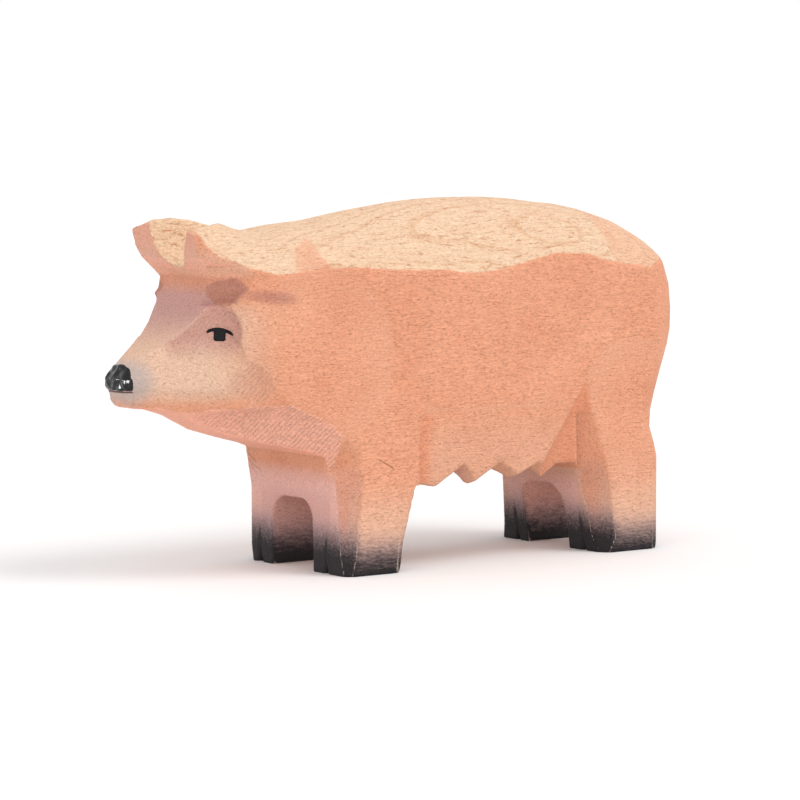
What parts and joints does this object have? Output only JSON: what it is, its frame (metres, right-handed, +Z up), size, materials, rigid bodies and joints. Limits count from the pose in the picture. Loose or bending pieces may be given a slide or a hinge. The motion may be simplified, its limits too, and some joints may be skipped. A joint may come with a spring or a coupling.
{
  "type": "carved wooden toy pig",
  "caption": "Small standing sow carved from one block of pale wood, with salmon-pink stained flanks, bare wood back, black painted nose and eyes, and dark shaded feet.",
  "frame": {"origin": "bottom centre of the bounding box, on the floor between the feet", "axes": "+X from the snout towards the rump, the snout faces -X; +Y towards the animal's right side; +Z up"},
  "size_m": [0.13, 0.035, 0.0723],
  "materials": {
    "stained_wood": "matt thin pink stain over close-grained pale wood",
    "ear_wood": "matt pink stain outside, bare pale wood between the ears",
    "leg_wood": "matt pink stain, sprayed dark grey at the feet",
    "nose_paint": "thick gloss black paint on wood",
    "eye_paint": "brushed black paint on wood"
  },
  "bodies": {
    "root": {"torso": "stained_wood", "neck": "stained_wood", "head": "stained_wood", "ear_left": "ear_wood", "ear_right": "ear_wood", "nose": "nose_paint", "eye_left": "eye_paint", "eye_right": "eye_paint", "leg_front_left": "leg_wood", "leg_front_right": "leg_wood", "leg_hind_left": "leg_wood", "leg_hind_right": "leg_wood", "udder_left": "stained_wood", "udder_right": "stained_wood", "tail": "stained_wood"}
  },
  "joints": []
}
